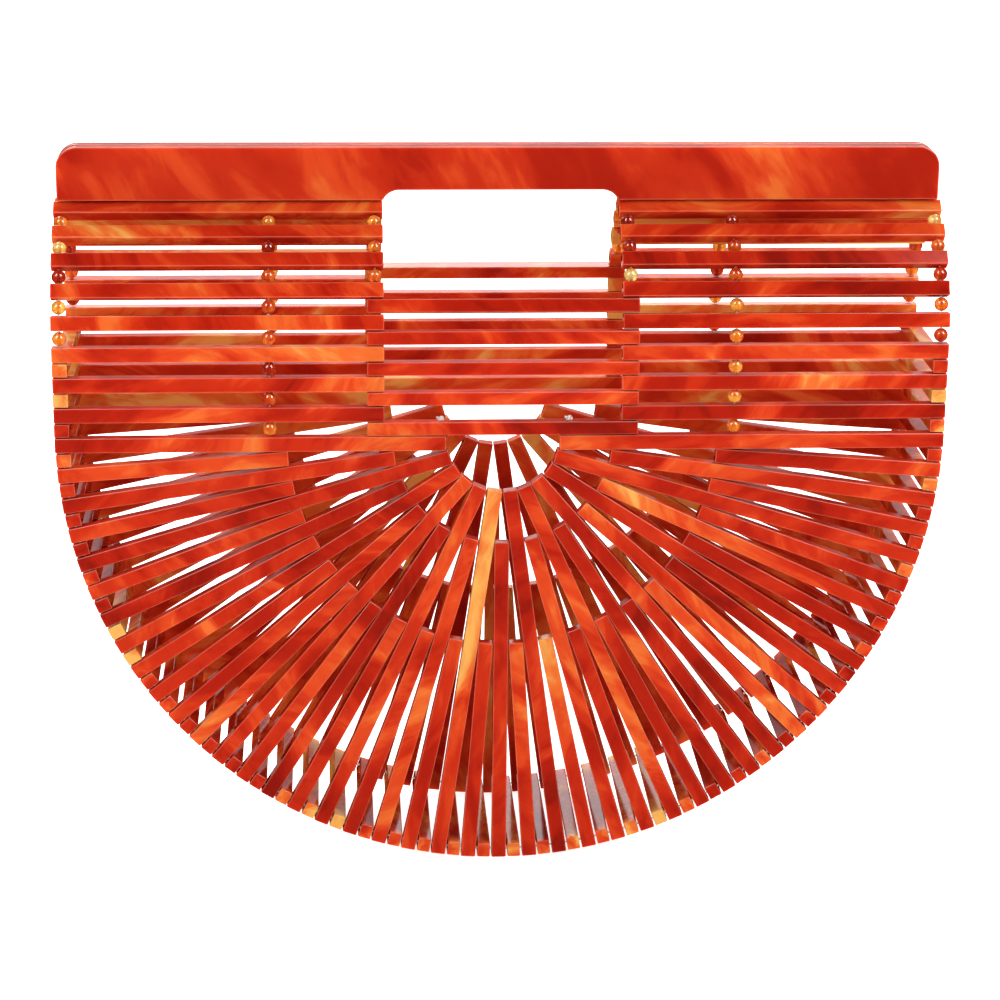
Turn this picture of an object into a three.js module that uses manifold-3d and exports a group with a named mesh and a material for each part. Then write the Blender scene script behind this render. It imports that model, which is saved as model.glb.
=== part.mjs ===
// Half-moon handbag of glossy slats, round beads and two handle plates.
// Millimetres, +Z up, the front faces -Y, the origin is under the middle of the bag on the floor.
import * as THREE from 'three';
import { mergeVertices } from 'three/addons/utils/BufferGeometryUtils.js';
import Module from 'manifold-3d';

const wasm = await Module();
wasm.setup();

// Slats: bars of one stock in the columns and the fans, deep from front to back and high in their face's plane
const slatHeight = 5.0;
const slatDepth = 4.2;
const clearance = 0.3;

// Beads and the clear thread through them
const beadDiameter = 4.7;
const threadDiameter = 1.0;
const boreDiameter = 2.4;
const beadSides = 10;
const threadSides = beadSides / 2;

// Columns: eight slats above each end of the fan, the upper ones leaning in towards the handle
const halfWidth = 148.5;
const columnInnerX = 39.5;
const columnSlats = 8;
const uprightSlats = 3;
const leanAngles = [4, 18, 32, 43, 52];
const outerStringInset = 2.6;
const middleStringX = 77.4;
const innerStringInset = 2.9;

// Centre slats in the lower five gaps between the columns, under the hand opening
const centreSlats = 5;
const centreLap = 5.6;
const centreClearance = 0.4;

// Fan: slats in three lengths around the fan's centre, the two end ones lying level
const fanHeight = 154;
const levelDrop = 3.4;
const fanStepsPerSide = 22;
const fanLap = 0.1;

// Cross slats from face to face
const crossWidth = 4.4;
const crossThickness = 5.0;

// Handle plates with the hand cut-out
const plateWidth = 294.6;
const plateHeight = 18;
const plateThickness = 4.4;
const plateGap = 0.6;
const plateCornerRadius = 7;
const cutoutWidth = 78.6;
const cutoutHeight = 3.4;
const cutoutCornerRadius = 6;
const cornerSegments = 6;

// What follows from the driving sizes
const layerPitch = slatHeight + beadDiameter + 2 * clearance;
const centreSlatHeight = layerPitch - slatHeight - 2 * centreClearance;
const levelZ = fanHeight - levelDrop;
const leans = leanAngles.map((angle) => THREE.MathUtils.degToRad(angle));
const leanInset = layerPitch * leans.reduce((sum, lean) => sum + Math.sin(lean), 0);
const topLean = leans[leans.length - 1];
const topSlatReach = (slatDepth * Math.cos(topLean) + slatHeight * Math.sin(topLean)) / 2;
const topSlatRise = (slatDepth * Math.sin(topLean) + slatHeight * Math.cos(topLean)) / 2;
const panelY = leanInset + topSlatReach + plateGap / 2;
const overallDepth = 2 * panelY + slatDepth;
const stringX = {
  outer: halfWidth - outerStringInset,
  middle: middleStringX,
  inner: columnInnerX + innerStringInset,
};

const faces = [{ name: 'front', side: -1 }, { name: 'back', side: 1 }];
const ends = [{ name: 'left', sign: -1 }, { name: 'right', sign: 1 }];

// Plastic colours, from dark to light, dealt out over the slats and beads
const shades = [0x8f1a0a, 0xb5280e, 0xc93a14, 0xd85220, 0xe0702c, 0xe79a45];
let dealt = 0;

function plastic(roughness) {
  dealt += 1;
  const shade = shades[(dealt * 5 + Math.floor(dealt / 4)) % shades.length];
  return new THREE.MeshStandardMaterial({ color: shade, roughness, metalness: 0 });
}

const bag = new THREE.Group();

function addPiece(name, geometry, roughness = 0.15) {
  const mesh = new THREE.Mesh(geometry, plastic(roughness));
  mesh.name = name;
  bag.add(mesh);
  return mesh;
}

// Turns a closed three.js geometry into a solid that can be joined and cut
function toSolid(geometry) {
  const bare = geometry.clone();
  bare.deleteAttribute('normal');
  bare.deleteAttribute('uv');
  const merged = mergeVertices(bare, 1e-4);
  return new wasm.Manifold(new wasm.Mesh({
    numProp: 3,
    vertProperties: new Float32Array(merged.attributes.position.array),
    triVerts: new Uint32Array(merged.index.array),
  }));
}

function toGeometry(solid) {
  const mesh = solid.getMesh();
  const geometry = new THREE.BufferGeometry();
  const points = new Float32Array(mesh.numVert * 3);
  for (let i = 0; i < mesh.numVert; i += 1) {
    for (let j = 0; j < 3; j += 1) {
      points[3 * i + j] = mesh.vertProperties[mesh.numProp * i + j];
    }
  }
  geometry.setAttribute('position', new THREE.BufferAttribute(points, 3));
  geometry.setIndex(new THREE.BufferAttribute(new Uint32Array(mesh.triVerts), 1));
  geometry.computeVertexNormals();
  return geometry;
}

// A round rod from one point to another
function rodGeometry(start, end, diameter) {
  const span = new THREE.Vector3().subVectors(end, start);
  const geometry = new THREE.CylinderGeometry(diameter / 2, diameter / 2, span.length(), threadSides);
  const turn = new THREE.Quaternion().setFromUnitVectors(new THREE.Vector3(0, 1, 0), span.normalize());
  geometry.applyQuaternion(turn);
  const middle = new THREE.Vector3().addVectors(start, end).multiplyScalar(0.5);
  geometry.translate(middle.x, middle.y, middle.z);
  return geometry;
}

// A level bar along X with bores through it from top to bottom
function boredBarGeometry(length, height, boresAt) {
  const bar = new THREE.BoxGeometry(length, slatDepth, height);
  if (boresAt.length === 0) {
    return bar;
  }
  let solid = toSolid(bar);
  for (const x of boresAt) {
    const bore = rodGeometry(new THREE.Vector3(x, 0, -height), new THREE.Vector3(x, 0, height), boreDiameter);
    solid = solid.subtract(toSolid(bore));
  }
  return toGeometry(solid);
}

// Section of one face: the slat centres from the level fan slat up to the top slat under the plate.
// Slat 8 is the level fan slat and slat 0 the top one; inset is how far it lies in from the face.
function slatSection() {
  const slats = new Array(columnSlats + 1);
  let point = { inset: 0, z: levelZ };
  slats[columnSlats] = { ...point, lean: 0 };
  for (let i = columnSlats - 1; i >= 0; i -= 1) {
    const below = leans[columnSlats - 1 - i - uprightSlats] ?? 0;
    const above = i === 0 ? topLean : leans[columnSlats - i - uprightSlats] ?? 0;
    point = {
      inset: point.inset + layerPitch * Math.sin(below),
      z: point.z + layerPitch * Math.cos(below),
    };
    slats[i] = { ...point, lean: (below + above) / 2 };
  }
  return slats;
}

const section = slatSection();

// The gap between slat i and slat i + 1
function gapAt(i) {
  const upper = section[i];
  const lower = section[i + 1];
  const inset = (upper.inset + lower.inset) / 2;
  const z = (upper.z + lower.z) / 2;
  return { inset, z, lean: Math.atan2(upper.inset - lower.inset, upper.z - lower.z) };
}

function placeOnFace(mesh, face, x, at) {
  mesh.position.set(x, face.side * (panelY - at.inset), at.z);
  mesh.rotation.x = face.side * at.lean;
}

// How many gaps each bead string fills, counted from the top: the rest hold cross slats or centre slats
const stringGaps = {
  outer: columnSlats - uprightSlats,
  middle: columnSlats,
  inner: columnSlats - centreSlats,
};

function addColumn(face, end) {
  const length = halfWidth - columnInnerX;
  const middleX = end.sign * (halfWidth + columnInnerX) / 2;
  for (let i = 0; i < columnSlats; i += 1) {
    const bores = Object.entries(stringGaps)
      .filter(([, gaps]) => i > 0 && i < gaps)
      .map(([string]) => end.sign * stringX[string] - middleX);
    if (face.name === 'front' && i > columnSlats - uprightSlats) {
      bores.push(end.sign * (halfWidth - crossThickness / 2) - middleX);
    }
    const slat = addPiece(`slat_${face.name}_${end.name}_${i}`, boredBarGeometry(length, slatHeight, bores));
    placeOnFace(slat, face, middleX, section[i]);
  }
}

// Rings of a bead string, as shares of the bead's radius along and out from its axis
const beadRings = [
  { along: -0.36, out: 1 },
  { along: 0.36, out: 1 },
];

// A string of beads on its thread, one closed skin through rings of points
function beadStringGeometry(centres, axes) {
  const radius = beadDiameter / 2;
  const across = new THREE.Vector3(1, 0, 0);
  const rings = [];
  function addRing(centre, axis, distance, ringRadius, sides) {
    const inward = new THREE.Vector3().crossVectors(axis, across).normalize();
    const ring = [];
    for (let j = 0; j < sides; j += 1) {
      const turn = 2 * Math.PI * j / sides;
      ring.push(new THREE.Vector3().copy(centre)
        .addScaledVector(axis, distance)
        .addScaledVector(across, ringRadius * Math.cos(turn))
        .addScaledVector(inward, ringRadius * Math.sin(turn)));
    }
    rings.push(ring);
  }
  centres.forEach((centre, i) => {
    addRing(centre, axes[i], -radius, threadDiameter / 2, threadSides);
    for (const ring of beadRings) {
      addRing(centre, axes[i], ring.along * radius, ring.out * radius, beadSides);
    }
    addRing(centre, axes[i], radius, threadDiameter / 2, threadSides);
  });

  const points = rings.flat();
  const triangles = [];
  let base = 0;
  function addTriangle(a, b, c) {
    triangles.push(base + a, base + b, base + c);
  }
  for (let i = 0; i + 1 < rings.length; i += 1) {
    const low = rings[i].length;
    const high = rings[i + 1].length;
    const steps = Math.min(low, high);
    for (let j = 0; j < steps; j += 1) {
      const next = (j + 1) % steps;
      if (low === high) {
        addTriangle(j, next, low + j);
        addTriangle(next, low + next, low + j);
      } else if (low < high) {
        addTriangle(j, low + 2 * j + 1, low + 2 * j);
        addTriangle(j, next, low + 2 * j + 1);
        addTriangle(next, low + 2 * next, low + 2 * j + 1);
      } else {
        addTriangle(2 * j, 2 * j + 1, low + j);
        addTriangle(2 * j + 1, low + next, low + j);
        addTriangle(2 * j + 1, 2 * next, low + next);
      }
    }
    base += low;
  }
  for (let j = 1; j + 1 < threadSides; j += 1) {
    triangles.push(0, j + 1, j);
    triangles.push(base, base + j, base + j + 1);
  }
  const geometry = new THREE.BufferGeometry().setFromPoints(points);
  geometry.setIndex(triangles);
  geometry.computeVertexNormals();
  return geometry;
}

function addBeadString(face, end, string) {
  const centres = [];
  const axes = [];
  for (let i = stringGaps[string] - 1; i >= 0; i -= 1) {
    const gap = gapAt(i);
    centres.push(new THREE.Vector3(end.sign * stringX[string], face.side * (panelY - gap.inset), gap.z));
    axes.push(new THREE.Vector3(0, -face.side * Math.sin(gap.lean), Math.cos(gap.lean)));
  }
  addPiece(`beads_${face.name}_${end.name}_${string}`, beadStringGeometry(centres, axes), 0.1);
}

function addCentreSlats(face) {
  const length = 2 * (columnInnerX + centreLap);
  for (let i = 0; i < centreSlats; i += 1) {
    const bar = new THREE.BoxGeometry(length, slatDepth, centreSlatHeight);
    const slat = addPiece(`centre_slat_${face.name}_${i + 1}`, bar);
    placeOnFace(slat, face, 0, gapAt(columnSlats - centreSlats + i));
  }
}

// Fan layout, in steps of one slat from the lowest one. The outer ends are spread evenly along a rim that
// is a little deeper than wide, and the directions turn from level to level.
const levelTurn = Math.acos(levelDrop / fanHeight);
const rimStretch = (fanHeight - halfWidth) / (fanHeight + halfWidth);

function turnAt(steps) {
  const even = levelTurn * steps / fanStepsPerSide;
  return even - rimStretch / 2 * Math.sin(2 * even);
}

function rimPoint(steps) {
  const turn = turnAt(steps);
  const reach = 1 / Math.hypot(Math.sin(turn) / halfWidth, Math.cos(turn) / fanHeight);
  return new THREE.Vector3(reach * Math.sin(turn), 0, fanHeight - reach * Math.cos(turn));
}

function fanDirection(steps) {
  const turn = turnAt(steps) * (Math.PI / 2) / turnAt(fanStepsPerSide);
  return new THREE.Vector3(Math.sin(turn), 0, -Math.cos(turn));
}

// How many steps away the neighbours are that a slat's inner end comes up against
function neighbourSteps(k) {
  if (k % 2 !== 0) {
    return 1;
  }
  return (k + fanStepsPerSide) % 4 === 0 ? 4 : 2;
}

// The length at which the inner corner of slat k just laps over the side of slat j
function lengthToNeighbour(k, j) {
  const towards = Math.sign(j - k);
  const [own, other] = [k, j].map((steps) => {
    const direction = fanDirection(steps);
    return { end: rimPoint(steps), direction, across: new THREE.Vector3(-direction.z, 0, direction.x) };
  });
  const corner = own.end.clone().addScaledVector(own.across, towards * slatHeight / 2);
  const away = corner.sub(other.end).dot(other.across) * -towards;
  const closing = own.direction.dot(other.across) * -towards;
  return (away - slatHeight / 2 + fanLap) / closing;
}

// The slat runs in until both its corners meet its neighbours
function fanSlatLength(k) {
  const steps = neighbourSteps(k);
  const neighbours = [k - steps, k + steps].filter((j) => Math.abs(j) <= fanStepsPerSide);
  return Math.max(...neighbours.map((j) => lengthToNeighbour(k, j)));
}

function turnedTo(direction) {
  return Math.atan2(direction.x, -direction.z);
}

function fanSlatGeometry(k) {
  const length = fanSlatLength(k);
  const geometry = new THREE.BoxGeometry(slatHeight, slatDepth, length);
  geometry.translate(0, 0, length / 2);
  geometry.rotateY(-turnedTo(fanDirection(k)));
  const end = rimPoint(k);
  geometry.translate(end.x, end.y, end.z);
  return geometry;
}

function addFan(face) {
  const slats = [];
  for (let k = -fanStepsPerSide; k <= fanStepsPerSide; k += 1) {
    let slat = toSolid(fanSlatGeometry(k));
    if (face.name === 'front') {
      const [start, end] = [crossPlace(k - 0.5), crossPlace(k + 0.5)].map((place) => place.centre);
      slat = slat.subtract(toSolid(rodGeometry(start, end, boreDiameter)));
    }
    slats.push(slat);
  }
  const fan = addPiece(`fan_${face.name}`, toGeometry(wasm.Manifold.union(slats)));
  fan.position.y = face.side * panelY;
}

// Places of the cross slats along the rim: half steps inside the fan, then the gaps above its level slats
function crossPlace(steps) {
  const beyond = Math.abs(steps) - fanStepsPerSide;
  if (beyond > 0) {
    const sign = Math.sign(steps);
    const z = levelZ + beyond * layerPitch;
    return { centre: new THREE.Vector3(sign * (halfWidth - crossThickness / 2), 0, z), turn: sign * Math.PI / 2 };
  }
  const direction = fanDirection(steps);
  const middle = new THREE.Vector3().addVectors(rimPoint(steps - 0.5), rimPoint(steps + 0.5)).multiplyScalar(0.5);
  return { centre: middle.addScaledVector(direction, -crossThickness / 2), turn: turnedTo(direction) };
}

function addCrossSlats() {
  const last = fanStepsPerSide + uprightSlats - 0.5;
  const pieces = [];
  for (let steps = -last; steps <= last; steps += 1) {
    const place = crossPlace(steps);
    const bar = new THREE.BoxGeometry(crossWidth, overallDepth, crossThickness);
    bar.rotateY(-place.turn);
    bar.translate(place.centre.x, 0, place.centre.z);
    pieces.push(toSolid(bar));
    if (steps < last) {
      const next = crossPlace(steps + 1).centre;
      const link = rodGeometry(place.centre, next, threadDiameter);
      link.translate(0, -panelY, 0);
      pieces.push(toSolid(link));
    }
  }
  addPiece('cross_slats', toGeometry(wasm.Manifold.union(pieces)));
}

// Outline of a handle plate, seen from the front with its lower edge at zero. The cut-out's corner arcs
// run out through the lower edge, where they are still short of upright.
function plateShape() {
  const half = plateWidth / 2;
  const arcZ = cutoutHeight - cutoutCornerRadius;
  const arcStart = Math.asin(-arcZ / cutoutCornerRadius);
  const arcX = cutoutWidth / 2 - cutoutCornerRadius * Math.cos(arcStart);
  const shape = new THREE.Shape();
  shape.moveTo(-half, 0);
  shape.lineTo(-cutoutWidth / 2, 0);
  shape.absarc(-arcX, arcZ, cutoutCornerRadius, Math.PI - arcStart, Math.PI / 2, true);
  shape.absarc(arcX, arcZ, cutoutCornerRadius, Math.PI / 2, arcStart, true);
  shape.lineTo(half, 0);
  shape.lineTo(half, plateHeight - plateCornerRadius);
  shape.absarc(half - plateCornerRadius, plateHeight - plateCornerRadius, plateCornerRadius,
    0, Math.PI / 2, false);
  shape.lineTo(-half + plateCornerRadius, plateHeight);
  shape.absarc(-half + plateCornerRadius, plateHeight - plateCornerRadius, plateCornerRadius,
    Math.PI / 2, Math.PI, false);
  shape.lineTo(-half, 0);
  return shape;
}

// The plates stand on the raised edges of the tilted top slats
function addPlate(face) {
  const geometry = new THREE.ExtrudeGeometry(plateShape(), {
    depth: plateThickness,
    bevelEnabled: false,
    curveSegments: cornerSegments,
  });
  geometry.rotateX(Math.PI / 2);
  geometry.translate(0, plateThickness / 2, 0);
  const plate = addPiece(`handle_${face.name}`, geometry);
  plate.position.set(0, face.side * (plateThickness + plateGap) / 2, section[0].z + topSlatRise + clearance);
}

for (const face of faces) {
  addPlate(face);
  for (const end of ends) {
    addColumn(face, end);
    for (const string of Object.keys(stringGaps)) {
      addBeadString(face, end, string);
    }
  }
  addCentreSlats(face);
  addFan(face);
}
addCrossSlats();

export default bag;
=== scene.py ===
# Looks of a half-moon handbag of glossy marbled slats, round beads and two handle plates.
# Metres, the same frame as the solids: +Z up, the front faces -Y.
import math
import random

import bmesh
import bpy
import numpy as np
from mathutils import Matrix, Vector


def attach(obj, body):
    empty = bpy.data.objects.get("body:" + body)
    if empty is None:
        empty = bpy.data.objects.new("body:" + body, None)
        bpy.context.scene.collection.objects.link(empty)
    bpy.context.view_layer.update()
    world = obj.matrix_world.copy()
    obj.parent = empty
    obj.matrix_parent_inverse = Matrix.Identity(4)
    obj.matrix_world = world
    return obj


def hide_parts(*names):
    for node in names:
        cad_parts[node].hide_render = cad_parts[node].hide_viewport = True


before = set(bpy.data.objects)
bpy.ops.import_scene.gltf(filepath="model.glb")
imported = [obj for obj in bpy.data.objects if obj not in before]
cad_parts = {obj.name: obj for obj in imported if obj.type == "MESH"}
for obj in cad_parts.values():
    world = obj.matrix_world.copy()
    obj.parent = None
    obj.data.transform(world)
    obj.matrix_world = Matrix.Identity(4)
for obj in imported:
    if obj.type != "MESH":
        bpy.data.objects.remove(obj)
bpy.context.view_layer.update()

MM = 0.001

# Sizes of the solids
SLAT_HEIGHT = 5.0 * MM
SLAT_DEPTH = 4.2 * MM
CLEARANCE = 0.3 * MM
BEAD_DIAMETER = 4.7 * MM
HALF_WIDTH = 148.5 * MM
COLUMN_INNER_X = 39.5 * MM
COLUMN_SLATS = 8
UPRIGHT_SLATS = 3
LEANS = [math.radians(angle) for angle in (4, 18, 32, 43, 52)]
OUTER_STRING_INSET = 2.6 * MM
MIDDLE_STRING_X = 77.4 * MM
INNER_STRING_INSET = 2.9 * MM
CENTRE_SLATS = 5
CENTRE_LAP = 5.6 * MM
CENTRE_CLEARANCE = 0.4 * MM
FAN_HEIGHT = 154 * MM
LEVEL_DROP = 3.4 * MM
FAN_STEPS = 22
CROSS_WIDTH = 4.4 * MM
CROSS_THICKNESS = 5.0 * MM
PLATE_WIDTH = 294.6 * MM
PLATE_HEIGHT = 18 * MM
PLATE_THICKNESS = 4.4 * MM
PLATE_GAP = 0.6 * MM
PLATE_CORNER = 7 * MM
CUTOUT_WIDTH = 78.6 * MM
CUTOUT_HEIGHT = 3.4 * MM
CUTOUT_CORNER = 6 * MM

# Detail of the looks
EDGE_ROUND = 0.35 * MM
EDGE_SEGMENTS = 2
PLATE_ROUND = 0.6 * MM
PLATE_SEGMENTS = 3
CORNER_POINTS = 20
CUTOUT_POINTS = 14
SHARP_ANGLE = math.radians(30)
FAN_GAP = 0.08 * MM
WOBBLE = 0.12 * MM
WOBBLE_TURN = 0.0012
THREAD_RADIUS = 0.35 * MM
THREAD_SIDES = 8
BEAD_BORE = 0.55 * MM
BEAD_SIDES = 28
BEAD_RINGS = 15
KNOT_X = {"left": -20.9 * MM, "right": 21.9 * MM}
KNOT_THREAD_RADIUS = 0.3 * MM
KNOT_LOOP = 0.42 * MM
KNOT_POINTS = 48
KNOT_SINK = 0.2 * MM
KNOT_LIFT = 0.8 * MM

# What follows from the sizes
LAYER_PITCH = SLAT_HEIGHT + BEAD_DIAMETER + 2 * CLEARANCE
CENTRE_SLAT_HEIGHT = LAYER_PITCH - SLAT_HEIGHT - 2 * CENTRE_CLEARANCE
LEVEL_Z = FAN_HEIGHT - LEVEL_DROP
TOP_LEAN = LEANS[-1]
TOP_REACH = (SLAT_DEPTH * math.cos(TOP_LEAN) + SLAT_HEIGHT * math.sin(TOP_LEAN)) / 2
TOP_RISE = (SLAT_DEPTH * math.sin(TOP_LEAN) + SLAT_HEIGHT * math.cos(TOP_LEAN)) / 2
PANEL_Y = LAYER_PITCH * sum(math.sin(lean) for lean in LEANS) + TOP_REACH + PLATE_GAP / 2
OVERALL_DEPTH = 2 * PANEL_Y + SLAT_DEPTH
LEVEL_TURN = math.acos(LEVEL_DROP / FAN_HEIGHT)
RIM_STRETCH = (FAN_HEIGHT - HALF_WIDTH) / (FAN_HEIGHT + HALF_WIDTH)
STRING_X = {
    "outer": HALF_WIDTH - OUTER_STRING_INSET,
    "middle": MIDDLE_STRING_X,
    "inner": COLUMN_INNER_X + INNER_STRING_INSET,
}
STRING_BEADS = {
    "outer": COLUMN_SLATS - UPRIGHT_SLATS,
    "middle": COLUMN_SLATS,
    "inner": COLUMN_SLATS - CENTRE_SLATS,
}

FACES = {"front": -1, "back": 1}
ENDS = {"left": -1, "right": 1}
rng = random.Random(41)

# How light each slat and bead is, as charted: k darkest, d dark red, r red, o orange, a amber and
# y yellow. Letters run from the top down, from left to right, or round the rim from the left.
TONES = {"k": -0.34, "d": -0.2, "r": -0.07, "o": 0.05, "a": 0.2, "y": 0.38}
TONE_SPREAD = 0.04
# Painted light: how much lighter the back slats are made, standing in for the light that their shade takes
# away
BACK_PAINTED_LIGHT = 0.13
FADING_TONES = "ay"
FADED_SHARE = 0.1
COLUMN_TONES = {
    ("front", "left"): "aaroooor",
    ("front", "right"): "ookrrror",
    ("back", "left"): "oaryooor",
    ("back", "right"): "oayaaaro",
}
CENTRE_TONES = {"front": "doord", "back": "ooroo"}
FAN_TONES = {
    "front": "rorrdodrrrrrordrrrooyrrodorrodrdroadrdarrrrro",
    "back": "oroaorooaoroaroooorodroadrooooroarooaorooroao",
}
CROSS_TONES = "yydorrdrryaooodroayyoaooaarooayoroodoodoarorraraya"
BEAD_TONES = {
    ("front", "left", "outer"): "aydya",
    ("front", "left", "middle"): "adrroddo",
    ("front", "left", "inner"): "aoo",
    ("front", "right", "outer"): "yodar",
    ("front", "right", "middle"): "droaaaao",
    ("front", "right", "inner"): "ddy",
}
HIDDEN_BEAD_TONES = "droa"

# Where a piece lies in the marbled sheet that it was cut from
SHEET_REACH = 9
SHEET_TURN = 1.2
PLATE_TURN = 0.9
BEAD_SPIN = 6.28


def lean_after(step):
    """Lean of a gap counted from the first leaning one up; the gaps below it are upright."""
    return LEANS[step] if step >= 0 else 0.0


def section_places():
    """Slat centres of one face from the level fan slat, the last one, up to the top slat, number 0."""
    places = [None] * (COLUMN_SLATS + 1)
    inset, z = 0.0, LEVEL_Z
    places[COLUMN_SLATS] = (inset, z, 0.0)
    for i in range(COLUMN_SLATS - 1, -1, -1):
        step = COLUMN_SLATS - 1 - i - UPRIGHT_SLATS
        below = lean_after(step)
        above = TOP_LEAN if i == 0 else lean_after(step + 1)
        inset += LAYER_PITCH * math.sin(below)
        z += LAYER_PITCH * math.cos(below)
        places[i] = (inset, z, (below + above) / 2)
    return places


SECTION = section_places()


def gap_place(i):
    """The gap between slat i and slat i + 1 as inset, z and lean."""
    upper, lower = SECTION[i], SECTION[i + 1]
    lean = math.atan2(upper[0] - lower[0], upper[1] - lower[1])
    return (upper[0] + lower[0]) / 2, (upper[1] + lower[1]) / 2, lean


def turn_at(steps):
    """Angle around the fan's centre at which the rim is reached after a number of slats from the lowest."""
    even = LEVEL_TURN * steps / FAN_STEPS
    return even - RIM_STRETCH / 2 * math.sin(2 * even)


def rim_point(steps):
    turn = turn_at(steps)
    reach = 1 / math.hypot(math.sin(turn) / HALF_WIDTH, math.cos(turn) / FAN_HEIGHT)
    return Vector((reach * math.sin(turn), 0, FAN_HEIGHT - reach * math.cos(turn)))


def fan_direction(steps):
    turn = turn_at(steps) * (math.pi / 2) / turn_at(FAN_STEPS)
    return Vector((math.sin(turn), 0, -math.cos(turn)))


def neighbour_steps(k):
    """How many steps away the neighbours are that a fan slat's inner end comes up against."""
    if k % 2:
        return 1
    return 4 if (k + FAN_STEPS) % 4 == 0 else 2


def length_to_neighbour(k, j):
    """The length at which the inner corner of fan slat k just stops short of the side of slat j."""
    towards = 1 if j > k else -1
    own_end, own_way = rim_point(k), fan_direction(k)
    other_end, other_way = rim_point(j), fan_direction(j)
    own_across = Vector((-own_way.z, 0, own_way.x))
    other_across = Vector((-other_way.z, 0, other_way.x))
    corner = own_end + own_across * (towards * SLAT_HEIGHT / 2)
    away = (corner - other_end).dot(other_across) * -towards
    closing = own_way.dot(other_across) * -towards
    return (away - SLAT_HEIGHT / 2 - FAN_GAP) / closing


def fan_slat_length(k):
    steps = neighbour_steps(k)
    return max(length_to_neighbour(k, j) for j in (k - steps, k + steps) if abs(j) <= FAN_STEPS)


def cross_place(steps):
    """Centre and outward way of a cross slat: half steps inside the fan, then the gaps above its ends."""
    beyond = abs(steps) - FAN_STEPS
    if beyond > 0:
        sign = 1 if steps > 0 else -1
        centre = Vector((sign * (HALF_WIDTH - CROSS_THICKNESS / 2), 0, LEVEL_Z + beyond * LAYER_PITCH))
        return centre, Vector((sign, 0, 0))
    way = fan_direction(steps)
    middle = (rim_point(steps - 0.5) + rim_point(steps + 0.5)) / 2
    return middle - way * (CROSS_THICKNESS / 2), way


class Skin:
    """Collects the faces of one piece, with each point's place in the sheet it was cut from, its tone,
    and whether it lies on a rounded edge, where the plastic gets a painted highlight."""

    def __init__(self):
        self.points = []
        self.faces = []
        self.smooth = []
        self.grain = []
        self.tone = []
        self.edge = []
        self.paint = []

    def add(self, points, faces, smooth, grain, tones, edge=None, paint=0):
        base = len(self.points)
        self.points.extend(points)
        self.faces.extend([tuple(base + i for i in face) for face in faces])
        self.smooth.extend(smooth)
        self.grain.extend(grain)
        self.tone.extend(tones)
        self.edge.extend(edge or [0.0] * len(points))
        self.paint.extend([paint] * len(faces))

    def build(self, name, materials):
        mesh = bpy.data.meshes.new(name)
        mesh.from_pydata([tuple(p) for p in self.points], [], self.faces)
        mesh.polygons.foreach_set("use_smooth", self.smooth)
        mesh.polygons.foreach_set("material_index", self.paint)
        grain = mesh.attributes.new("grain", "FLOAT_VECTOR", "POINT")
        grain.data.foreach_set("vector", np.array(self.grain, float).ravel())
        for label, values in (("tone", self.tone), ("edge", self.edge)):
            attribute = mesh.attributes.new(label, "FLOAT", "POINT")
            attribute.data.foreach_set("value", np.array(values, float))
        for material in materials:
            mesh.materials.append(material)
        mesh.update()
        piece = bpy.data.objects.new(name, mesh)
        bpy.context.scene.collection.objects.link(piece)
        return piece


def sheet_places(points, turn=None):
    """Where a piece's points lie in the big marbled sheet: a seeded place, turned in the face's plane."""
    offset = Vector([rng.uniform(-SHEET_REACH, SHEET_REACH) for _ in range(3)])
    angle = rng.uniform(-SHEET_TURN, SHEET_TURN) if turn is None else turn
    sheet = Matrix.Rotation(angle, 4, "Y")
    return [sheet @ p + offset for p in points]


def rounded_solid(bm, radius, segments):
    """Rounds all sharp edges. The big flat faces stay flat and the narrow rounding ones are smooth;
    edge is 1 at the points that lie on rounding faces alone, which marks where a highlight is painted."""
    edges = [edge for edge in bm.edges if edge.calc_face_angle(0) > SHARP_ANGLE]
    bmesh.ops.bevel(bm, geom=edges, offset=radius, offset_type="OFFSET", segments=segments,
                    profile=0.5, affect="EDGES", clamp_overlap=True)
    bm.verts.index_update()
    points = [v.co.copy() for v in bm.verts]
    edge = [1.0] * len(points)
    faces = []
    smooth = []
    for face in bm.faces:
        faces.append([v.index for v in face.verts])
        shortest = min(e.calc_length() for e in face.edges)
        smooth.append(len(face.verts) <= 4 and shortest < radius)
        if not smooth[-1]:
            for i in faces[-1]:
                edge[i] = 0.0
    return points, faces, smooth, edge


bar_cache = {}


def rounded_bar(length, depth, height):
    """A bar along X with rounded edges."""
    key = (round(length, 6), round(depth, 6), round(height, 6))
    if key not in bar_cache:
        bm = bmesh.new()
        bmesh.ops.create_cube(bm, size=1, matrix=Matrix.Diagonal((length, depth, height, 1)))
        bar_cache[key] = rounded_solid(bm, EDGE_ROUND, EDGE_SEGMENTS)
        bm.free()
    return bar_cache[key]


def add_bar(skin, size, place, tone, end_tone=None):
    """A bar of one tone, or of a tone that changes along it."""
    points, faces, smooth, edge = rounded_bar(*size)
    change = 0.0 if end_tone is None else end_tone - tone
    tones = [tone + change * (p.x / size[0] + 0.5) for p in points]
    skin.add([place @ p for p in points], faces, smooth, sheet_places(points), tones, edge)


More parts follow.
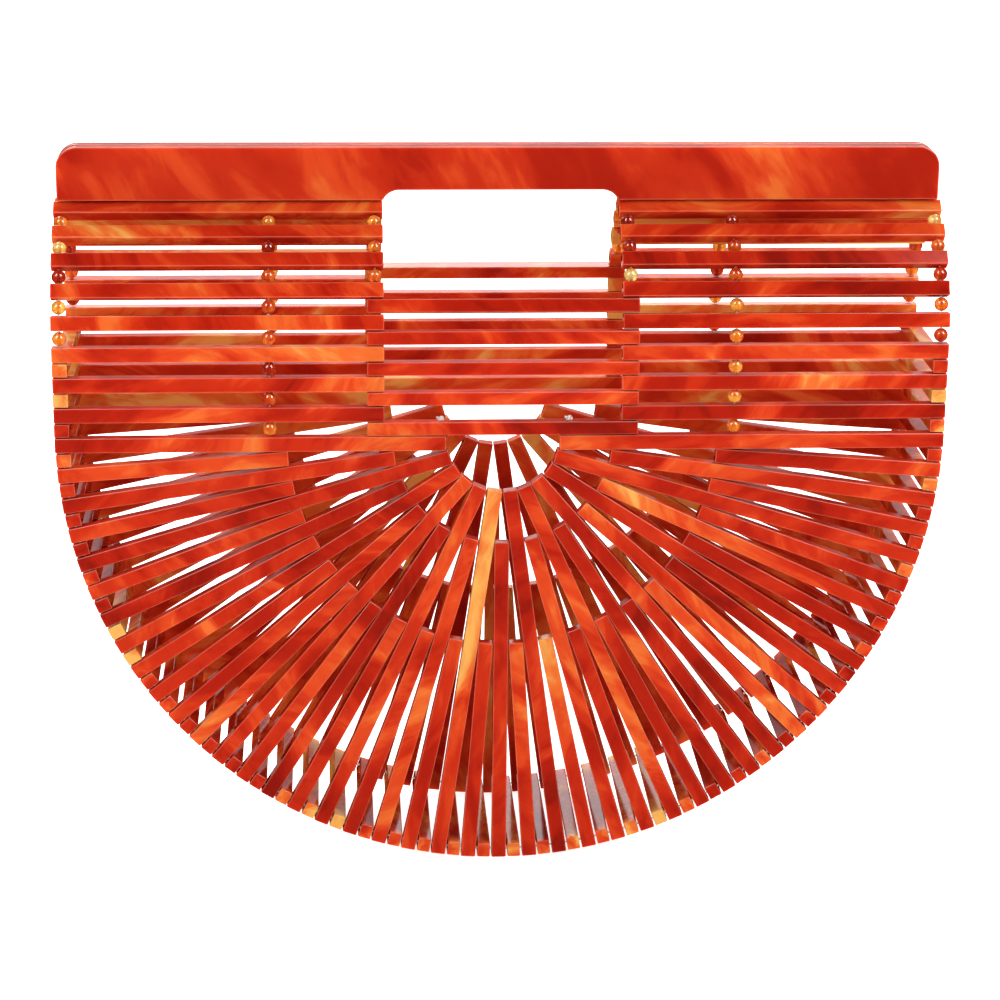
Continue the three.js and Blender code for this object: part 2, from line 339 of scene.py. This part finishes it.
def add_tube(skin, path, radius, paint):
    """A round tube along a path of points, closed at both ends."""
    sides = THREAD_SIDES
    turns = [2 * math.pi * j / sides for j in range(sides)]
    points = []
    for i, point in enumerate(path):
        way = (path[min(i + 1, len(path) - 1)] - path[max(i - 1, 0)]).normalized()
        across = way.cross(Vector((1, 0, 0)) if abs(way.x) < 0.9 else Vector((0, 1, 0))).normalized()
        other = way.cross(across)
        points.extend(point + across * (radius * math.cos(t)) + other * (radius * math.sin(t)) for t in turns)
    faces = []
    for i in range(len(path) - 1):
        for j in range(sides):
            k = (j + 1) % sides
            faces.append((i * sides + j, i * sides + k, (i + 1) * sides + k, (i + 1) * sides + j))
    smooth = [True] * len(faces) + [False] * 2
    faces.append(tuple(reversed(range(sides))))
    faces.append(tuple((len(path) - 1) * sides + j for j in range(sides)))
    skin.add(points, faces, smooth, points, [0.0] * len(points), paint=paint)


def wobble():
    """A hand-made slat's small error of place and turn, in the plane of its face."""
    shift = Vector((0, rng.uniform(-0.5, 0.5) * WOBBLE, rng.uniform(-1, 1) * WOBBLE))
    turn = Matrix.Rotation(rng.uniform(-1, 1) * WOBBLE_TURN, 4, "Y")
    return Matrix.Translation(shift) @ turn


def tone_of(letters, i):
    return TONES[letters[i]] + rng.uniform(-TONE_SPREAD, TONE_SPREAD)


def face_tone(letters, i, face):
    """The tone of a slat of one face. The back lies in shade, so it gets painted light: a lighter tone that
    makes it look like the front.
    """
    return tone_of(letters, i) + BACK_PAINTED_LIGHT * (face == "back")


def face_matrix(side, x, at):
    """Places a piece that lies along X on a face, at an inset, height and lean."""
    inset, z, lean = at
    return Matrix.Translation((x, side * (PANEL_Y - inset), z)) @ Matrix.Rotation(side * lean, 4, "X")


def direction_matrix(centre, way):
    """Turns a bar that lies along X so that it runs along a direction in the face's plane."""
    return Matrix.Translation(centre) @ Matrix.Rotation(math.atan2(-way.z, way.x), 4, "Y")


# Colours of the plastic from dark to light, as places on a ramp from 0 to 1
MARBLE = [
    (0.0, (0.19, 0.006, 0.0025)),
    (0.25, (0.3, 0.01, 0.003)),
    (0.45, (0.4, 0.02, 0.0048)),
    (0.6, (0.5, 0.046, 0.009)),
    (0.76, (0.57, 0.11, 0.019)),
    (1.0, (0.62, 0.31, 0.07)),
]
BEAD_MARBLE = [
    (0.0, (0.25, 0.013, 0.008)),
    (0.25, (0.5, 0.03, 0.009)),
    (0.45, (0.8, 0.12, 0.018)),
    (0.6, (0.92, 0.26, 0.03)),
    (0.76, (0.97, 0.44, 0.06)),
    (1.0, (0.98, 0.74, 0.28)),
]
# A pale colour painted on the rounded edges as a highlight, and the share of it that is mixed in
PAINTED_EDGE_HIGHLIGHT = (0.75, 0.38, 0.26)
EDGE_HIGHLIGHT_SHARE = 0.22
MIDDLE_LEVEL = 0.44
GLOW_REACH = (8 * MM, 2.6 * MM, 0.9 * MM)

# How much lighter the handle plates' clouds are at places along X, in millimetres
PLATE_CLOUDS = [
    (-148, -0.12), (-95, -0.1), (-70, 0.06), (-45, 0.12), (-25, 0.02), (0, -0.05), (30, -0.04),
    (60, 0.03), (85, 0.1), (93, 0.18), (105, 0.02), (125, -0.08), (148, -0.12),
]


def colour_ramp(nodes, stops):
    ramp = nodes.new("ShaderNodeValToRGB")
    ramp.color_ramp.interpolation = "EASE"
    elements = ramp.color_ramp.elements
    while len(elements) < len(stops):
        elements.new(0.5)
    for element, (position, colour) in zip(elements, stops):
        element.position = position
        element.color = (*colour, 1)
    return ramp


class MarbleNodes:
    """Shorthands for the nodes of one marbled material. size scales its marbling."""

    def __init__(self, material, size):
        self.nodes = material.node_tree.nodes
        self.links = material.node_tree.links
        self.size = size
        self.grain = self.attribute("grain", "Vector")

    def attribute(self, name, output="Fac"):
        node = self.nodes.new("ShaderNodeAttribute")
        node.attribute_name = name
        return node.outputs[output]

    def scaled(self, along, across, vector=None):
        mapping = self.nodes.new("ShaderNodeMapping")
        mapping.inputs["Scale"].default_value = (along / self.size, across / self.size, across / self.size)
        self.links.new(vector or self.grain, mapping.inputs["Vector"])
        return mapping.outputs["Vector"]

    def noise(self, vector, detail, distortion, rough=0.5, output="Fac"):
        texture = self.nodes.new("ShaderNodeTexNoise")
        texture.inputs["Scale"].default_value = 1.0
        texture.inputs["Detail"].default_value = detail
        texture.inputs["Roughness"].default_value = rough
        texture.inputs["Distortion"].default_value = distortion
        self.links.new(vector, texture.inputs["Vector"])
        return texture.outputs[output]

    def calc(self, operation, a, b):
        node = self.nodes.new("ShaderNodeMath")
        node.operation = operation
        for socket, value in zip(node.inputs, (a, b)):
            if isinstance(value, (int, float)):
                socket.default_value = value
            else:
                self.links.new(value, socket)
        return node.outputs[0]

    def centred(self, value, strength):
        return self.calc("MULTIPLY", self.calc("SUBTRACT", value, 0.5), strength)

    def swirled(self):
        """Places in the sheet, bent by a slow noise."""
        bend = self.nodes.new("ShaderNodeVectorMath")
        bend.operation = "MULTIPLY_ADD"
        bend.inputs[1].default_value = (0.03 * self.size,) * 3
        self.links.new(self.noise(self.scaled(22, 22), 1.0, 0.0, output="Color"), bend.inputs[0])
        self.links.new(self.grain, bend.inputs[2])
        return bend.outputs["Vector"]

    def lighter_along(self, chart):
        """How much lighter the piece is at its place along X."""
        parts = self.nodes.new("ShaderNodeSeparateXYZ")
        place = self.nodes.new("ShaderNodeTexCoord")
        self.links.new(place.outputs["Object"], parts.inputs["Vector"])
        share = self.calc("ADD", self.calc("MULTIPLY", parts.outputs["X"], 0.5 / HALF_WIDTH), 0.5)
        stops = [((x * MM / HALF_WIDTH + 1) / 2, (0.5 + lift,) * 3) for x, lift in chart]
        bands = colour_ramp(self.nodes, stops)
        self.links.new(share, bands.inputs["Fac"])
        return self.calc("SUBTRACT", bands.outputs["Color"], 0.5)

    def with_painted_edge_highlights(self, colour):
        # Painted highlight: mixes a pale colour into the plastic where the points lie on rounded edges
        pale = self.nodes.new("ShaderNodeMix")
        pale.data_type = "RGBA"
        pale.inputs[7].default_value = (*PAINTED_EDGE_HIGHLIGHT, 1)
        self.links.new(self.calc("MULTIPLY", self.attribute("edge"), EDGE_HIGHLIGHT_SHARE), pale.inputs[0])
        self.links.new(colour, pale.inputs[6])
        return pale.outputs[2]

    def between(self, value, low, high):
        span = self.nodes.new("ShaderNodeMapRange")
        span.inputs["To Min"].default_value = low
        span.inputs["To Max"].default_value = high
        self.links.new(value, span.inputs["Value"])
        return span.outputs["Result"]

    def wavy_skin(self):
        bump = self.nodes.new("ShaderNodeBump")
        bump.inputs["Strength"].default_value = 0.12
        bump.inputs["Distance"].default_value = 0.12 * MM
        self.links.new(self.noise(self.scaled(110, 160), 2.0, 0.0), bump.inputs["Height"])
        return bump.outputs["Normal"]


def marbled_plastic(name, contrast, roughness=0.1, glow=0.5, lift=0.0, size=1.0, clear=0.0,
                    stops=MARBLE, along=None):
    """Polished marbled plastic: drawn-out swirling clouds, finer wisps in them, a pale highlight painted on
    the rounded edges, and a slightly wavy skin.
    size scales the marbling, lift makes it lighter, and along lists how light it is at places in X."""
    material = bpy.data.materials.new(name)
    material.use_nodes = True
    marble = MarbleNodes(material, size)
    shader = marble.nodes["Principled BSDF"]

    swirled = marble.swirled()
    clouds = marble.noise(marble.scaled(26, 58, swirled), 3.0, 0.6)
    wisps = marble.noise(marble.scaled(70, 260, swirled), 4.0, 0.5, 0.6)
    veins = marble.calc("ADD", marble.centred(clouds, 2.0 * contrast), marble.centred(wisps, 0.7 * contrast))
    level = marble.calc("ADD", marble.calc("ADD", veins, MIDDLE_LEVEL + lift), marble.attribute("tone"))
    if along:
        level = marble.calc("ADD", level, marble.lighter_along(along))
    ramp = colour_ramp(marble.nodes, stops)
    marble.links.new(level, ramp.inputs["Fac"])
    marble.links.new(marble.with_painted_edge_highlights(ramp.outputs["Color"]), shader.inputs["Base Color"])

    shader.inputs["Subsurface Weight"].default_value = glow
    shader.inputs["Subsurface Radius"].default_value = GLOW_REACH
    shader.inputs["Subsurface Scale"].default_value = 1.0
    shader.inputs["Transmission Weight"].default_value = clear
    shader.inputs["IOR"].default_value = 1.49
    if clear:
        shader.inputs["Specular IOR Level"].default_value = 0.8
        shader.inputs["Coat Weight"].default_value = 1.0
        shader.inputs["Coat Roughness"].default_value = roughness
        shader.inputs["Coat IOR"].default_value = 1.8
    polish = marble.between(clouds, roughness * 0.6, roughness * 1.4)
    marble.links.new(polish, shader.inputs["Roughness"])
    marble.links.new(marble.wavy_skin(), shader.inputs["Normal"])
    return material


def clear_thread():
    material = bpy.data.materials.new("clear_thread")
    material.use_nodes = True
    nodes, links = material.node_tree.nodes, material.node_tree.links
    shader = nodes["Principled BSDF"]
    shader.inputs["Base Color"].default_value = (0.95, 0.88, 0.84, 1)
    shader.inputs["Transmission Weight"].default_value = 0.7
    shader.inputs["IOR"].default_value = 1.5
    texture = nodes.new("ShaderNodeTexNoise")
    texture.inputs["Scale"].default_value = 900
    polish = nodes.new("ShaderNodeMapRange")
    polish.inputs["To Min"].default_value = 0.15
    polish.inputs["To Max"].default_value = 0.35
    links.new(texture.outputs["Fac"], polish.inputs["Value"])
    links.new(polish.outputs["Result"], shader.inputs["Roughness"])
    return material


PLATE_PLASTIC = marbled_plastic("handle_plastic", 0.6, lift=0.02, size=1.5, along=PLATE_CLOUDS)
SLAT_PLASTIC = marbled_plastic("slat_plastic", 0.9, size=1.4)
FAN_PLASTIC = marbled_plastic("fan_plastic", 0.8, glow=0.36, size=1.4, lift=0.02)
CROSS_PLASTIC = marbled_plastic("cross_slat_plastic", 0.9, glow=0.3, lift=0.1)
BEAD_PLASTIC = marbled_plastic("bead_plastic", 0.5, roughness=0.03, glow=0.2, size=0.35, clear=0.55,
                               stops=BEAD_MARBLE)
THREAD = clear_thread()


def finish_piece(piece, node):
    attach(piece, "root")
    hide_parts(node)


def arc_points(centre, radius, start, end, count):
    turns = [start + (end - start) * i / (count - 1) for i in range(count)]
    return [(centre[0] + radius * math.cos(t), centre[1] + radius * math.sin(t)) for t in turns]


def plate_outline():
    """Outline of a handle plate seen from the front, its lower edge at zero and the hand cut-out in it."""
    half = PLATE_WIDTH / 2
    corner_x, corner_z = half - PLATE_CORNER, PLATE_HEIGHT - PLATE_CORNER
    arc_z = CUTOUT_HEIGHT - CUTOUT_CORNER
    arc_start = math.asin(-arc_z / CUTOUT_CORNER)
    arc_x = CUTOUT_WIDTH / 2 - CUTOUT_CORNER * math.cos(arc_start)
    points = [(-half, 0)]
    points += arc_points((-arc_x, arc_z), CUTOUT_CORNER, math.pi - arc_start, math.pi / 2, CUTOUT_POINTS)
    points += arc_points((arc_x, arc_z), CUTOUT_CORNER, math.pi / 2, arc_start, CUTOUT_POINTS)
    points += [(half, 0)]
    points += arc_points((corner_x, corner_z), PLATE_CORNER, 0, math.pi / 2, CORNER_POINTS)
    points += arc_points((-corner_x, corner_z), PLATE_CORNER, math.pi / 2, math.pi, CORNER_POINTS)
    return points


def rounded_plate():
    bm = bmesh.new()
    ring = [bm.verts.new((x, -PLATE_THICKNESS / 2, z)) for x, z in plate_outline()]
    sheet = bm.faces.new(ring)
    moved = bmesh.ops.extrude_face_region(bm, geom=[sheet])["geom"]
    verts = [v for v in moved if isinstance(v, bmesh.types.BMVert)]
    bmesh.ops.translate(bm, verts=verts, vec=(0, PLATE_THICKNESS, 0))
    bmesh.ops.recalc_face_normals(bm, faces=bm.faces)
    plate = rounded_solid(bm, PLATE_ROUND, PLATE_SEGMENTS)
    bm.free()
    return plate


def add_plates():
    points, faces, smooth, edge = rounded_plate()
    plate_z = SECTION[0][1] + TOP_RISE + CLEARANCE
    for face, side in FACES.items():
        place = Matrix.Translation((0, side * (PLATE_THICKNESS + PLATE_GAP) / 2, plate_z))
        grain = sheet_places(points, PLATE_TURN * side)
        skin = Skin()
        skin.add([place @ p for p in points], faces, smooth, grain, [0.0] * len(points), edge)
        finish_piece(skin.build(f"look_handle_{face}", [PLATE_PLASTIC]), f"handle_{face}")


def add_columns():
    length = HALF_WIDTH - COLUMN_INNER_X
    for face, side in FACES.items():
        for end, sign in ENDS.items():
            x = sign * (HALF_WIDTH + COLUMN_INNER_X) / 2
            for i in range(COLUMN_SLATS):
                skin = Skin()
                place = face_matrix(side, x, SECTION[i])
                tone = face_tone(COLUMN_TONES[face, end], i, face)
                add_bar(skin, (length, SLAT_DEPTH, SLAT_HEIGHT), place, tone)
                piece = skin.build(f"look_slat_{face}_{end}_{i}", [SLAT_PLASTIC])
                finish_piece(piece, f"slat_{face}_{end}_{i}")


def add_centre_slats():
    length = 2 * (COLUMN_INNER_X + CENTRE_LAP)
    for face, side in FACES.items():
        for i in range(CENTRE_SLATS):
            skin = Skin()
            place = face_matrix(side, 0, gap_place(COLUMN_SLATS - CENTRE_SLATS + i))
            tone = face_tone(CENTRE_TONES[face], i, face)
            add_bar(skin, (length, SLAT_DEPTH, CENTRE_SLAT_HEIGHT), place, tone)
            piece = skin.build(f"look_centre_slat_{face}_{i + 1}", [SLAT_PLASTIC])
            finish_piece(piece, f"centre_slat_{face}_{i + 1}")


def add_fans():
    """The fans' slats, of which the light ones fade to red towards the rim."""
    for face, side in FACES.items():
        skin = Skin()
        for number, k in enumerate(range(-FAN_STEPS, FAN_STEPS + 1)):
            length = fan_slat_length(k)
            way = fan_direction(k)
            centre = rim_point(k) - way * (length / 2)
            place = Matrix.Translation((0, side * PANEL_Y, 0)) @ direction_matrix(centre, way)
            if abs(k) not in (0, FAN_STEPS):
                place = place @ wobble()
            tone = face_tone(FAN_TONES[face], number, face)
            fades = FAN_TONES[face][number] in FADING_TONES
            end_tone = tone * FADED_SHARE if fades else tone
            add_bar(skin, (length, SLAT_DEPTH, SLAT_HEIGHT), place, tone, end_tone)
        finish_piece(skin.build(f"look_fan_{face}", [FAN_PLASTIC]), f"fan_{face}")


def add_cross_slats():
    """The short bars from face to face, and the thread that joins their ends on each face."""
    skin = Skin()
    last = FAN_STEPS + UPRIGHT_SLATS - 0.5
    centres = []
    for i in range(int(2 * last) + 1):
        centre, way = cross_place(i - last)
        centres.append(centre)
        upright = direction_matrix(centre, way) @ Matrix.Rotation(math.pi / 2, 4, "Z")
        place = upright @ Matrix.Rotation(math.pi / 2, 4, "X")
        add_bar(skin, (OVERALL_DEPTH, CROSS_WIDTH, CROSS_THICKNESS), place, tone_of(CROSS_TONES, i))
    for side in FACES.values():
        path = [centre + Vector((0, side * PANEL_Y, 0)) for centre in centres]
        add_tube(skin, path, THREAD_RADIUS, 1)
    finish_piece(skin.build("look_cross_slats", [CROSS_PLASTIC, THREAD]), "cross_slats")


def bead_profile():
    """Radius and height of a drilled bead's skin, from the bore's lower mouth over the ball to the upper."""
    radius = BEAD_DIAMETER / 2
    mouth = math.asin(BEAD_BORE / radius)
    rim = mouth * 1.25
    bore_radius = BEAD_BORE * 0.9
    bore_end = radius * math.cos(mouth) * 0.7
    rows = [(bore_radius, -bore_end)]
    for i in range(BEAD_RINGS):
        turn = rim + (math.pi - 2 * rim) * i / (BEAD_RINGS - 1)
        rows.append((radius * math.sin(turn), -radius * math.cos(turn)))
    rows.append((bore_radius, bore_end))
    return rows


def add_bead(skin, place, tone):
    sides = BEAD_SIDES
    rows = bead_profile()
    points = []
    for out, up in rows:
        for j in range(sides):
            turn = 2 * math.pi * j / sides
            points.append(Vector((out * math.cos(turn), out * math.sin(turn), up)))
    faces = []
    for i in range(len(rows)):
        after = (i + 1) % len(rows)
        for j in range(sides):
            k = (j + 1) % sides
            faces.append((i * sides + j, i * sides + k, after * sides + k, after * sides + j))
    grain = sheet_places(points)
    skin.add([place @ p for p in points], faces, [True] * len(faces), grain, [tone] * len(points))


def add_bead_string(face, end, string):
    skin = Skin()
    count = STRING_BEADS[string]
    x = ENDS[end] * STRING_X[string]
    letters = BEAD_TONES.get((face, end, string)) or [rng.choice(HIDDEN_BEAD_TONES) for _ in range(count)]
    path = []
    for i in range(count):
        place = face_matrix(FACES[face], x, gap_place(i))
        spin = Matrix.Rotation(rng.uniform(0, BEAD_SPIN), 4, "Z")
        add_bead(skin, place @ spin, tone_of(letters, i))
        path.append(place @ Vector((0, 0, BEAD_DIAMETER / 2)))
        path.append(place @ Vector((0, 0, -BEAD_DIAMETER / 2)))
    add_tube(skin, path, THREAD_RADIUS, 1)
    piece = skin.build(f"look_beads_{face}_{end}_{string}", [BEAD_PLASTIC, THREAD])
    finish_piece(piece, f"beads_{face}_{end}_{string}")


def add_bead_strings():
    for face in FACES:
        for end in ENDS:
            for string in STRING_BEADS:
                add_bead_string(face, end, string)


def knot_point(turn):
    """A point of a trefoil knot's path, in units of its loops."""
    return Vector((math.sin(turn) + 2 * math.sin(2 * turn),
                   math.cos(turn) - 2 * math.cos(2 * turn),
                   -math.sin(3 * turn)))


def add_knots():
    """Small knots of clear thread on the lowest centre slat, over the inner ends of the level slats."""
    slat_top = gap_place(COLUMN_SLATS - 1)[1] + CENTRE_SLAT_HEIGHT / 2
    for name, x in KNOT_X.items():
        skin = Skin()
        centre = Vector((x, -PANEL_Y + KNOT_SINK, slat_top + KNOT_LIFT))
        turns = [2 * math.pi * i / KNOT_POINTS for i in range(KNOT_POINTS + 1)]
        add_tube(skin, [centre + knot_point(turn) * KNOT_LOOP for turn in turns], KNOT_THREAD_RADIUS, 0)
        piece = skin.build(f"thread_knot_{name}", [THREAD])
        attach(piece, "root")


# The floor, which bends up into a wall behind the bag
FLOOR_REACH = 40.0
WALL_REACH = 6.0
WALL_Y = 5.0
WALL_HEIGHT = 4.0
BEND_RADIUS = 1.5
BEND_STEPS = 24
NEAR_GLOW_Y, NEAR_GLOW = 0.3, 0.85
FAR_GLOW_Y, FAR_GLOW = 2.5, 0.95


def floor_mesh():
    bend_y = WALL_Y - BEND_RADIUS
    profile = [(-FLOOR_REACH, 0.0)]
    for i in range(BEND_STEPS + 1):
        turn = math.pi / 2 * i / BEND_STEPS
        profile.append((bend_y + BEND_RADIUS * math.sin(turn), BEND_RADIUS - BEND_RADIUS * math.cos(turn)))
    profile.append((WALL_Y, WALL_HEIGHT))
    bm = bmesh.new()
    rows = []
    for y, z in profile:
        reach = WALL_REACH if z > 0 else FLOOR_REACH
        rows.append([bm.verts.new((x, y, z)) for x in (-reach, reach)])
    for low, high in zip(rows, rows[1:]):
        bm.faces.new((low[0], low[1], high[1], high[0]))
    mesh = bpy.data.meshes.new("floor")
    bm.to_mesh(mesh)
    bm.free()
    for face in mesh.polygons:
        face.use_smooth = True
    return mesh


def floor_paper():
    """White paper that glows a little, more so further back."""
    material = bpy.data.materials.new("pale_paper")
    material.use_nodes = True
    nodes, links = material.node_tree.nodes, material.node_tree.links
    shader = nodes["Principled BSDF"]
    shader.inputs["Base Color"].default_value = (0.93, 0.93, 0.93, 1)
    shader.inputs["Roughness"].default_value = 0.9
    shader.inputs["Specular IOR Level"].default_value = 0.1
    shader.inputs["Emission Color"].default_value = (1, 1, 1, 1)
    place = nodes.new("ShaderNodeTexCoord")
    parts = nodes.new("ShaderNodeSeparateXYZ")
    links.new(place.outputs["Object"], parts.inputs["Vector"])
    glow = nodes.new("ShaderNodeMapRange")
    glow.inputs["From Min"].default_value = NEAR_GLOW_Y
    glow.inputs["From Max"].default_value = FAR_GLOW_Y
    glow.inputs["To Min"].default_value = NEAR_GLOW
    glow.inputs["To Max"].default_value = FAR_GLOW
    links.new(parts.outputs["Y"], glow.inputs["Value"])
    links.new(glow.outputs["Result"], shader.inputs["Emission Strength"])
    return material


def add_floor():
    mesh = floor_mesh()
    mesh.materials.append(floor_paper())
    floor = bpy.data.objects.new("floor", mesh)
    floor.visible_glossy = False
    bpy.context.scene.collection.objects.link(floor)


def add_light(name, place, aim_z, size, power):
    """A rectangular lamp that points at a height above the middle of the bag's stand."""
    lamp = bpy.data.lights.new(name, "AREA")
    lamp.shape = "RECTANGLE"
    lamp.size, lamp.size_y = size
    lamp.energy = power
    light = bpy.data.objects.new(name, lamp)
    light.location = place
    aim = Vector((0, 0, aim_z))
    light.rotation_euler = (aim - Vector(place)).to_track_quat("-Z", "Y").to_euler()
    bpy.context.scene.collection.objects.link(light)


def add_lights():
    """Even room light that leaves no mirror image, a softbox in front on each side, two sheets behind
    that the top faces mirror, and a high light behind that fills them."""
    world = bpy.data.worlds.new("studio")
    bpy.context.scene.world = world
    world.use_nodes = True
    background = world.node_tree.nodes["Background"]
    background.inputs["Color"].default_value = (1, 1, 1, 1)
    background.inputs["Strength"].default_value = 0.55
    world.cycles_visibility.glossy = False
    add_light("softbox_right", (0.74, -0.67, 0.99), 0.15, (0.46, 0.84), 9)
    add_light("softbox_left", (-0.74, -0.67, 0.99), 0.15, (0.46, 0.84), 7)
    add_light("low_back_sheet", (0, 1.8, 0.51), 0.2, (3.4, 0.42), 2.5)
    add_light("middle_back_sheet", (0, 1.8, 1.12), 0.2, (3.4, 0.8), 20)
    add_light("high_back_light", (0, 1.1, 1.6), 0.15, (1.6, 0.6), 22)


# Camera found from the photograph: place, yaw to the right, pitch down and roll, focal length in image widths
CAMERA_PLACE = (-0.0566, -0.9637, 0.4295)
CAMERA_YAW = math.radians(3.42)
CAMERA_PITCH = math.radians(17.71)
CAMERA_ROLL = math.radians(0.59)
CAMERA_FOCAL = 2.9276
SENSOR_WIDTH = 36


def add_camera():
    yaw, pitch, roll = CAMERA_YAW, CAMERA_PITCH, CAMERA_ROLL
    ahead = Vector((math.sin(yaw) * math.cos(pitch), math.cos(yaw) * math.cos(pitch), -math.sin(pitch)))
    right = Vector((math.cos(yaw), -math.sin(yaw), 0))
    up = right.cross(ahead)
    rolled_right = right * math.cos(roll) + up * math.sin(roll)
    rolled_up = up * math.cos(roll) - right * math.sin(roll)
    data = bpy.data.cameras.new("camera")
    data.sensor_width = SENSOR_WIDTH
    data.lens = CAMERA_FOCAL * SENSOR_WIDTH
    data.clip_end = 50
    camera = bpy.data.objects.new("camera", data)
    turn = Matrix((rolled_right, rolled_up, -ahead)).transposed()
    camera.matrix_world = Matrix.Translation(CAMERA_PLACE) @ turn.to_4x4()
    bpy.context.scene.collection.objects.link(camera)
    bpy.context.scene.camera = camera


add_camera()
add_plates()
add_columns()
add_centre_slats()
add_fans()
add_cross_slats()
add_bead_strings()
add_knots()
add_floor()
add_lights()
bpy.context.scene.view_settings.view_transform = "Standard"
